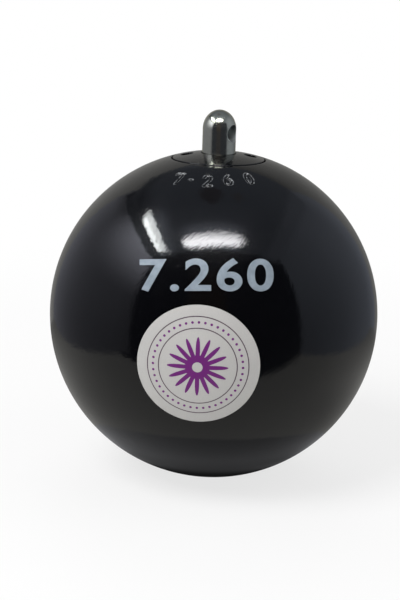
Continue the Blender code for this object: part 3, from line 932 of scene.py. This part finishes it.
# %% Sunburst
wave = add("Math", (angle, BURST_POINTS), operation="MULTIPLY")
wave = add("Math", (wave,), operation="COSINE")
limit = add(
    "MapRange",
    {"Value": radius, "From Min": BURST_CORE, "From Max": BURST_RADIUS, "To Min": -1, "To Max": 1},
)
rays = add("Math", (wave, limit), operation="GREATER_THAN")
outside_hub = add("Math", (radius, HUB_RADIUS), operation="GREATER_THAN")
rays = add("Math", (rays, outside_hub), operation="MULTIPLY")

# %% Ring of dots
turns = add("Math", (angle, DOTS / WHOLE_TURN), operation="MULTIPLY")
share = add("Math", (turns, 0.5), operation="PINGPONG")
beside = add("Math", (share, WHOLE_TURN * DOT_RING / DOTS), operation="MULTIPLY")
inwards = add("Math", (radius, DOT_RING), operation="SUBTRACT")
from_dot = add("CombineXYZ", (beside, inwards))
from_dot = add("VectorMath", (from_dot,), operation="LENGTH").outputs["Value"]
dots = add("Math", (from_dot, DOT_RADIUS), operation="LESS_THAN")
violet = add("Math", (rays, dots), operation="MAXIMUM")

# %% Foil surface
FOIL_GRAIN = 0.0004
FOIL_GRAIN_HEIGHT = 0.000004
grain = add("TexNoise", {"Vector": place, "Scale": 1 / FOIL_GRAIN, "Detail": 2})
silver = add("Mix", {0: grain, 6: "#b6b5b3", 7: "#c3c1be"}, data_type="RGBA")
ringed = add("Mix", {0: lines, 6: silver.outputs[2], 7: "#54424f"}, data_type="RGBA")
printed = add("Mix", {0: violet, 6: ringed.outputs[2], 7: "#6e1f74"}, data_type="RGBA")
satin = add("Bump", {"Height": grain, "Distance": FOIL_GRAIN_HEIGHT})
shader = add(
    "BsdfPrincipled",
    {
        "Base Color": printed.outputs[2],
        "Roughness": 0.42,
        "Metallic": 0.15,
        "Specular IOR Level": 0.4,
        "Normal": satin,
    },
)
add("OutputMaterial", {"Surface": shader})

# %% [markdown]
# ## Pad-printing ink
# A thin coat of blue-grey ink, so uneven that the black under it shows a little in patches.

# %% Ink
INK_PATCH = 0.0024
ink, add, place = new_material("pad_print_ink")
patches = add("TexNoise", {"Vector": place, "Scale": 1 / INK_PATCH, "Detail": 4})
cover_share = add("MapRange", {"Value": patches, "From Min": 0.3, "From Max": 0.7})
shade = add("Mix", {0: cover_share, 6: "#737e88", 7: "#87929d"}, data_type="RGBA")
shader = add("BsdfPrincipled", {"Base Color": shade.outputs[2], "Roughness": 0.38})
add("OutputMaterial", {"Surface": shader})

# %% [markdown]
# ## Putting the pieces on their bodies
# The spindle rides on the swivel, so it turns when the joint does, and the rest on the head.
# Each piece stands for the CAD node that it follows. The inner pieces keep their CAD shape and
# only get their real finish.

# %% Bodies and materials
for piece, material, body, node, slot in (
    (ball, enamel, "head", "steel_ball", "black_enamel"),
    (cover, enamel, "head", "bearing_cover", "black_enamel"),
    (spindle, steel, "swivel", "spindle", "bright_steel"),
    (label, foil, "head", "round_label", "label_foil"),
):
    piece.data.materials.append(material)
    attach(piece, body)
    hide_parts(node)
painted.data.materials.append(ink)
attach(painted, "head")

finished = 0
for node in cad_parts.values():
    for slot in node.material_slots:
        if slot.material.name in finishes:
            slot.material = finishes[slot.material.name]
            finished += 1
print(finished, "inner nodes have their finish")

# %% [markdown]
# ## Camera
# The camera looks from 29 degrees to the right and 14 above, from ten ball radii away. It is
# rolled a little, because the ball stood askew, and aimed so that the ball's middle falls on
# its place in the picture.

# %% Camera
AZIMUTH = math.radians(29)
ELEVATION = math.radians(14.45)
ROLL = math.radians(1.84)
DISTANCE = 10 * ball_radius
LENS = 97.8
SENSOR = 36
IMAGE_HEIGHT = 600
OFF_CENTRE = Vector((13.54, 13.27))  # pixels, right and down


def way(azimuth, elevation):
    """The way from the ball to a place at these angles."""
    flat = math.cos(elevation)
    return Vector((math.sin(azimuth) * flat, -math.cos(azimuth) * flat, math.sin(elevation)))


back = way(AZIMUTH, ELEVATION)
level_right = Vector((math.cos(AZIMUTH), math.sin(AZIMUTH), 0))
level_up = back.cross(level_right)
right = level_right * math.cos(ROLL) + level_up * math.sin(ROLL)
up = level_up * math.cos(ROLL) - level_right * math.sin(ROLL)
metres_per_pixel = DISTANCE * SENSOR / LENS / IMAGE_HEIGHT
camera_place = middle + back * DISTANCE
target = middle + (up * OFF_CENTRE.y - right * OFF_CENTRE.x) * metres_per_pixel
aim = (target - camera_place).normalized()
camera_right = (right - aim * right.dot(aim)).normalized()
camera_turn = Matrix((camera_right, camera_right.cross(aim), -aim)).transposed().to_4x4()

camera_data = bpy.data.cameras.new("camera")
camera_data.sensor_width = SENSOR
camera_data.lens = LENS
camera_data.clip_start = 0.01
camera = new_object("camera", camera_data)
camera.matrix_world = Matrix.Translation(camera_place) @ camera_turn
bpy.context.scene.camera = camera
print("camera stands", round(DISTANCE, 3), "m from the ball's middle")

# %% [markdown]
# ## Background and floor
# The background is white paper. The world is white to the rays that see it, from the camera or
# by way of a mirror, and a soft grey to the rest, so that it doesn't flood the object with
# light. The floor keeps the shadow near the ball and runs out into plain white.

# %% Rays that see the background
def seen_rays(add):
    """1 for camera, glossy and transmission rays."""
    path = add("LightPath")
    seen = path.outputs["Is Camera Ray"]
    for ray in ("Is Glossy Ray", "Is Transmission Ray"):
        seen = add("Math", (seen, path.outputs[ray]), operation="MAXIMUM")
    return seen


# %% World
AMBIENT = 0.34
world = bpy.data.worlds.new("studio")
world.use_nodes = True
world.node_tree.nodes.clear()
add = node_adder(world.node_tree)
strength = add("MapRange", {"Value": seen_rays(add), "To Min": AMBIENT})
sky = add("Background", {"Color": "#ffffff", "Strength": strength})
add("OutputWorld", {"Surface": sky})
bpy.context.scene.world = world
bpy.context.scene.view_settings.view_transform = "Standard"

# %% Floor
FLOOR_SIZE = 12
FLOOR_GAP = 0.0004
SHADOW_SHARE = 0.25  # how much of the near paper's white comes from the light on it
FADE_START = 0.12
FADE_END = 0.42

floor_paper, add, place = new_material("white_paper")
far = add("VectorMath", (place,), operation="LENGTH").outputs["Value"]
fade = add(
    "MapRange",
    {"Value": far, "From Min": FADE_START, "From Max": FADE_END},
    interpolation_type="SMOOTHSTEP",
)
paper = add("BsdfDiffuse", {"Color": "#e8e8e8"})
white = add("Emission", {"Strength": 1})
near = add("MixShader", (SHADOW_SHARE, white, paper))
shown = add("MixShader", (fade, near, white))
both = add("MixShader", (seen_rays(add), paper, shown))
add("OutputMaterial", {"Surface": both})


def stage_mesh(name, bm, material):
    """Links a piece of the set, which isn't part of the hammer head."""
    piece = new_piece(bm, name)
    piece.data.materials.append(material)
    return piece


floor_bm = bmesh.new()
bmesh.ops.create_grid(floor_bm, x_segments=1, y_segments=1, size=FLOOR_SIZE / 2)
floor = stage_mesh("floor", floor_bm, floor_paper)
floor.location.z = -FLOOR_GAP

# %% [markdown]
# ## The light tent's lining
# The ball is a mirror, so what stands round it is half of how it looks: a small light tent of
# grey cloth, open at the front to a dim room, with two strip lamps under its roof. Only mirror
# rays meet these panels. The camera sees past them, and they cast no light or shadow.
#
# Each cloth glows more in one place than in another. The glow is painted light: it stands for
# the lamps' light on the cloth, with painted shade in its corners and round the ball's foot.
# Its glow is an even level and a sum of terms. A term is a product of ramps along X, Y or Z,
# or R, the distance from the ball's foot.

# %% Glowing cloth
def cloth(name, code, *terms, even=0):
    """Makes a panel's glow, painted light, from terms of ramps (axis, start, end, low, high)."""
    add, place = new_material(name)[1:]
    split = add("SeparateXYZ", (place,))
    far = add("VectorMath", (place,), operation="LENGTH")
    total = even
    for ramps in terms:
        term = 1
        for axis, start, end, low, high in ramps:
            along = far.outputs["Value"] if axis == "R" else split.outputs[axis]
            ramp = add(
                "MapRange",
                {"Value": along, 1: start, 2: end, 3: low, 4: high},
                interpolation_type="SMOOTHSTEP",
            )
            term = add("Math", (ramp, term), operation="MULTIPLY")
        total = add("Math", (term, total), operation="ADD")
    glow = add("Emission", {"Color": code, "Strength": total})
    add("OutputMaterial", {"Surface": glow})


def panel(name, corners, material):
    """A panel in the tent's own axes, X to the camera's right and Y away from it."""
    bm = bmesh.new()
    bm.faces.new([bm.verts.new(corner) for corner in corners])
    piece = stage_mesh(name, bm, bpy.data.materials[material])
    piece.rotation_euler.z = AZIMUTH
    piece.visible_camera = False
    piece.visible_diffuse = False
    piece.visible_shadow = False


def upright(name, start, end, low, high, material):
    """An upright panel between two plan points and two levels."""
    panel(name, [(*start, low), (*end, low), (*end, high), (*start, high)], material)


def lay(name, outline, height, material):
    """A level panel with this outline."""
    panel(name, [(x, y, height) for x, y in outline], material)


def rectangle(left, right, front, back):
    """The outline of a rectangle."""
    return [(left, front), (right, front), (right, back), (left, back)]


# %% Cloth round the ball
LEFT = -0.188
RIGHT = 0.219
BACK = 0.185
FRONT_EDGE = -0.152
ROOF = 0.30
LEFT_TOP = 0.257
ROOF_FRONT = -0.175
SIDE = 0.16  # where the roof's right part begins
# The fold is a dark panel: painted shade in the tent's back left corner.
CORNER_SHADE_END = -0.115  # where the fold in the back left corner ends
# the size of the disc that carries the painted contact shadow
CONTACT_SHADOW_RADIUS = 0.0552
CONTACT_SHADOW_STEPS = 72
LAYER = 0.001  # how far apart panels in one place stand
FLOOR_LAYER = 0.00005

# The left cloth's second term is a painted pool of light beside the left strip.
cloth(
    "left_cloth",
    "#eaecfb",
    [("Z", 0, 0.14, 0.21, 0.33), ("Z", 0.21, 0.257, 1, 0.6), ("Y", -0.09, -0.16, 1, 0.8)],
    [("Z", 0.12, 0.29, 0, 2.6), ("Y", 0.09, -0.075, 0, 1)],
)
cloth(
    "right_cloth",
    "#e2eafc",
    [("Z", 0, 0.22, 0.29, 0.45), ("Y", 0.17, 0.01, 0.7, 1), ("Y", -0.03, -0.15, 1, 0.9)],
)
cloth(
    "back_cloth",
    "#fbfaf6",
    [("Z", 0.04, 0.16, 0.24, 0.31), ("Z", 0.25, 0.3, 1, 0.75), ("X", -0.14, 0.05, 1.1, 0.82)],
)
cloth(
    "roof_cloth",
    "#dfe9fc",
    [("Y", 0.2, 0, 0.14, 0.24), ("X", -0.19, -0.12, 0.5, 1.1)],
    [("Y", -0.07, -0.115, 0, 0.9), ("X", -0.12, -0.05, 0, 1), ("X", 0.09, 0.04, 0, 1)],
    [("X", -0.1, -0.147, 0, 0.6), ("X", -0.186, -0.194, 1, 0.2), ("Y", 0.03, -0.05, 0, 1)],
    [("Y", 0.02, -0.06, 0, 0.06), ("X", 0.14, 0.04, 0, 1)],
)
cloth("roof_side_cloth", "#e2eafc", [("Y", 0.2, 0, 0.22, 0.37)])
# The fold cloth is painted shade in the back left corner.
cloth("corner_shade_cloth", "#dfe9fc", [("Z", 0.26, 0.3, 0.12, 0.09)])
cloth("hem_cloth", "#dfe9fc", [("X", -0.115, -0.035, 0.12, 0.2)])
# The floor cloth's second term darkens it round the ball, at its sides and back: a painted shadow
# of the ball.
cloth(
    "floor_cloth",
    "#fbfaf6",
    [("X", -0.1, 0.1, 0.44, 0.41), ("Y", 0.18, -0.04, 0.34, 1)],
    [("R", 0.05, 0.13, -0.19, 0), ("Y", -0.07, -0.01, 0, 1), ("X", -0.05, 0.05, 0.5, 1)],
)
# A disc round the ball's foot, whose glow falls towards the foot: a painted contact shadow.
cloth(
    "painted_contact_shadow",
    "#f5f6fa",
    [("R", 0.02, 0.0385, 0.012, 0.255), ("X", -0.045, 0.05, 1.22, 0.85)],
    [("R", 0.047, 0.034, 0, -0.09), ("R", 0.026, 0.034, 0, 1), ("Y", -0.045, -0.012, 0, 1)],
)

upright("tent_left", (LEFT, FRONT_EDGE), (LEFT, BACK), 0, LEFT_TOP, "left_cloth")
upright("tent_right", (RIGHT, FRONT_EDGE), (RIGHT, BACK), 0, ROOF, "right_cloth")
upright("tent_back", (-0.175, BACK - 2 * LAYER), (SIDE, BACK - 2 * LAYER), 0, ROOF, "back_cloth")
upright("tent_corner_left", (LEFT, BACK), (0, BACK), 0, ROOF, "left_cloth")
# A dark panel in the back left corner: painted shade.
upright("corner_shade_panel", (LEFT, 0.11), (CORNER_SHADE_END, BACK - 3 * LAYER), 0.262, ROOF, "corner_shade_cloth")
upright("tent_hem", (CORNER_SHADE_END, BACK - 3 * LAYER), (-0.035, BACK - 3 * LAYER), 0.27, ROOF, "hem_cloth")
upright("tent_corner_right", (0, BACK), (RIGHT, BACK), 0, ROOF, "right_cloth")
lay("tent_roof", rectangle(-0.32, SIDE, ROOF_FRONT, BACK), ROOF, "roof_cloth")
lay("tent_roof_side", rectangle(SIDE, RIGHT, ROOF_FRONT, BACK), ROOF, "roof_side_cloth")
front_curve = [(LEFT, -0.112), (-0.16, -0.124), (-0.12, -0.136), (0, -0.141), (0.07, -0.135)]
front_curve += [(0.12, -0.135), (0.16, -0.14), (RIGHT, -0.152)]
lay("tent_floor", front_curve + [(RIGHT, BACK), (LEFT, BACK)], -2 * FLOOR_LAYER, "floor_cloth")
# The disc that holds the painted contact shadow round the ball's foot.
contact_shadow_rim = arc((0, 0), CONTACT_SHADOW_RADIUS, 0, WHOLE_TURN, CONTACT_SHADOW_STEPS)[:-1]
lay("contact_shadow_disc", contact_shadow_rim, -FLOOR_LAYER, "painted_contact_shadow")

# %% Dim room beyond
ROOM = 2
cloth("dim_room", "#ccd3ee", even=0.056)
cloth("dim_doorway", "#ffe8de", even=0.062)
cloth("dim_roof_opening", "#f0e8f4", even=0.15)
cloth("dim_roof_patch", "#f4eef0", even=0.215)
room_plan = rectangle(-ROOM, ROOM, -ROOM, ROOM)
lay("room_floor", room_plan, -4 * FLOOR_LAYER, "dim_room")
lay("room_ceiling", room_plan, ROOM, "dim_room")
ends = zip(room_plan, room_plan[1:] + room_plan[:1])
for name, (start, end) in zip(("room_front", "room_right", "room_back", "room_left"), ends):
    upright(name, start, end, -4 * FLOOR_LAYER, ROOM, "dim_room")
upright("room_doorway", (-0.3, -0.9), (0.14, -0.9), 0, 0.9, "dim_doorway")
roof_hole = [(-0.035, 0.026), (-0.022, 0.042), (-0.007, 0.041), (0.007, 0.031), (0.011, 0.012)]
roof_hole += [(0.004, -0.007), (-0.011, -0.023), (-0.025, -0.01), (-0.033, 0.006)]
lay("tent_roof_hole", roof_hole, ROOF - LAYER, "dim_roof_opening")
roof_patch = [(0.041, 0.029), (0.052, 0.017), (0.043, -0.005), (0.032, 0.009)]
lay("tent_roof_patch", roof_patch, ROOF - LAYER, "dim_roof_patch")

# %% Strip lamps
STRIP_LEVEL = ROOF - 3 * LAYER
cloth("front_strip", "#fcfcff", [("Y", -0.11, -0.142, 7.5, 22), ("X", 0.09, 0, 0.87, 1)])
cloth("left_strip", "#fbffff", [("X", -0.169, -0.172, 12.5, 21), ("Y", 0.03, -0.02, 0.55, 1)])
front_shape = [(-0.092, -0.138), (-0.08, -0.124), (-0.04, -0.115), (0.03, -0.108)]
front_shape += [(0.066, -0.11), (0.075, -0.118), (0.074, -0.138), (0.062, -0.153)]
front_shape += [(0, -0.161), (-0.047, -0.165), (-0.08, -0.162), (-0.092, -0.152)]
lay("strip_front", front_shape, STRIP_LEVEL, "front_strip")
left_shape = [(-0.154, 0.026), (-0.172, 0.018), (-0.187, 0.006), (-0.188, -0.148)]
left_shape += [(-0.15, -0.16), (-0.152, -0.11), (-0.15, -0.066), (-0.153, -0.008)]
lay("strip_left", left_shape, STRIP_LEVEL, "left_strip")

# %% [markdown]
# ## Lamps
# Soft area lamps light the label, the print and the floor. They aren't mirrored in the ball:
# the strips already are.

# %% Lamps
def lamp(name, azimuth, elevation, distance, size, power):
    """A soft square lamp aimed at the ball, whose angles are counted from the camera's."""
    data = bpy.data.lights.new(name, "AREA")
    data.size = size
    data.energy = power
    out = way(AZIMUTH + math.radians(azimuth), math.radians(elevation))
    light = new_object(name, data)
    light.location = middle + out * distance
    light.rotation_euler = out.to_track_quat("Z", "Y").to_euler()
    light.visible_glossy = False


lamp("key", -42, 48, 1, 0.5, 9)
lamp("fill", 70, 45, 1.2, 0.8, 2)
lamp("rear", 180, 45, 1.2, 0.8, 4)
